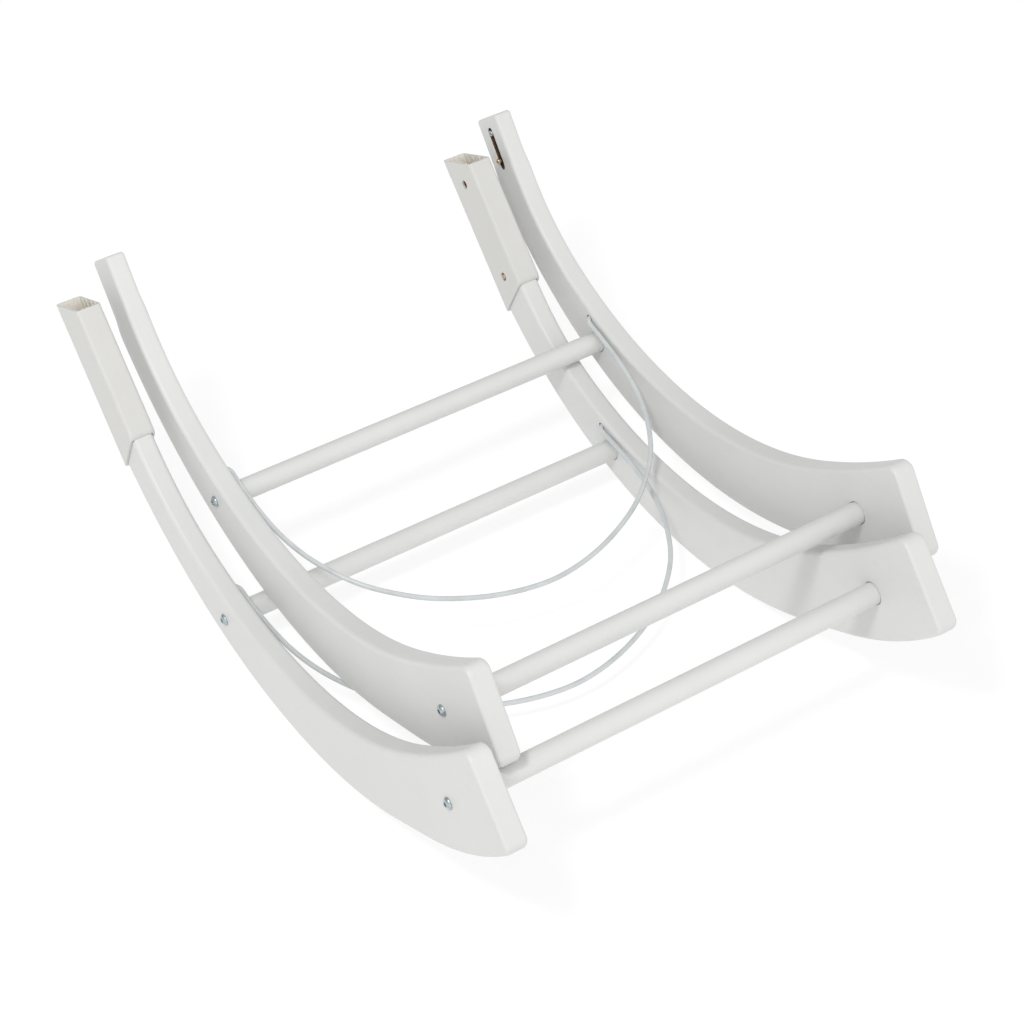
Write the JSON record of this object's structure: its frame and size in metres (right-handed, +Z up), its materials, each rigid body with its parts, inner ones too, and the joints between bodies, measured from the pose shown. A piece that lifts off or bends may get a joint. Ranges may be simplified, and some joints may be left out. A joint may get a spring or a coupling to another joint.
{
  "type": "baby swing stand",
  "caption": "Wooden baby swing stand taken apart for storage: two curved half frames, one nested in the other, each with crossbars, snap buttons and a cable loop to hang the seat.",
  "frame": {"origin": "middle of the stack's bounding box in plan, on the surface it lies on", "axes": "+Z up, +Y towards the frames' tongues and sleeves, +X across the frames towards the plug frame's overhanging rail"},
  "size_m": [0.5812, 0.8938, 0.3284],
  "materials": {
    "painted_rail": "white satin paint over solid wood",
    "painted_bar": "white satin paint over turned wood",
    "bolt_steel": "blue zinc plate",
    "insert_steel": "dull zinc",
    "sleeve_plastic": "ivory, slightly glossy",
    "spring_steel": "dark brown spring steel",
    "screw_steel": "blue zinc plate",
    "button_metal": "dull bronze-coloured plating",
    "cable_coat": "smooth pale grey plastic coat over wire rope",
    "ferrule_alloy": "plain"
  },
  "bodies": {
    "socket_frame": {"socket_left_rail": "painted_rail", "socket_right_rail": "painted_rail", "socket_upper_bar": "painted_bar", "socket_lower_bar": "painted_bar", "socket_bolt_upper_left": "bolt_steel", "socket_bolt_upper_right": "bolt_steel", "socket_bolt_lower_left": "bolt_steel", "socket_bolt_lower_right": "bolt_steel", "socket_insert_upper_left": "insert_steel", "socket_insert_upper_right": "insert_steel", "socket_insert_lower_left": "insert_steel", "socket_insert_lower_right": "insert_steel", "socket_left_sleeve": "sleeve_plastic", "socket_right_sleeve": "sleeve_plastic", "socket_left_leaf_screw": "screw_steel", "socket_right_leaf_screw": "screw_steel", "socket_cable": "cable_coat", "socket_left_ferrule": "ferrule_alloy", "socket_right_ferrule": "ferrule_alloy"},
    "plug_frame": {"plug_left_rail": "painted_rail", "plug_right_rail": "painted_rail", "plug_upper_bar": "painted_bar", "plug_lower_bar": "painted_bar", "plug_bolt_upper_left": "bolt_steel", "plug_bolt_upper_right": "bolt_steel", "plug_bolt_lower_left": "bolt_steel", "plug_bolt_lower_right": "bolt_steel", "plug_insert_upper_left": "insert_steel", "plug_insert_upper_right": "insert_steel", "plug_insert_lower_left": "insert_steel", "plug_insert_lower_right": "insert_steel", "plug_left_leaf_screw": "screw_steel", "plug_right_leaf_screw": "screw_steel", "plug_cable": "cable_coat", "plug_left_ferrule": "ferrule_alloy", "plug_right_ferrule": "ferrule_alloy"},
    "socket_left_catch": {"socket_left_leaf": "spring_steel", "socket_left_button": "button_metal"},
    "socket_right_catch": {"socket_right_leaf": "spring_steel", "socket_right_button": "button_metal"},
    "plug_left_catch": {"plug_left_leaf": "spring_steel", "plug_left_button": "button_metal"},
    "plug_right_catch": {"plug_right_leaf": "spring_steel", "plug_right_button": "button_metal"}
  },
  "joints": [
    {"name": "plug_frame_lift", "type": "slide", "parent": "socket_frame", "child": "plug_frame", "axis": [0, 0, 1], "range_m": [0, 0.3]},
    {"name": "socket_left_button_press", "type": "hinge", "parent": "socket_frame", "child": "socket_left_catch", "pos_m": [-0.2666, 0.33952, 0.19918], "axis": [0, 0.7466, -0.6652], "range_deg": [0, 9], "stiffness_Nm_per_rad": 0.6},
    {"name": "socket_right_button_press", "type": "hinge", "parent": "socket_frame", "child": "socket_right_catch", "pos_m": [0.2176, 0.33952, 0.19918], "axis": [0, -0.7466, 0.6652], "range_deg": [0, 9], "stiffness_Nm_per_rad": 0.6},
    {"name": "plug_left_button_press", "type": "hinge", "parent": "plug_frame", "child": "plug_left_catch", "pos_m": [-0.2176, 0.41681, 0.29996], "axis": [0, 0.8177, -0.5756], "range_deg": [0, 9], "stiffness_Nm_per_rad": 0.6},
    {"name": "plug_right_button_press", "type": "hinge", "parent": "plug_frame", "child": "plug_right_catch", "pos_m": [0.2666, 0.41681, 0.29996], "axis": [0, -0.8177, 0.5756], "range_deg": [0, 9], "stiffness_Nm_per_rad": 0.6}
  ]
}
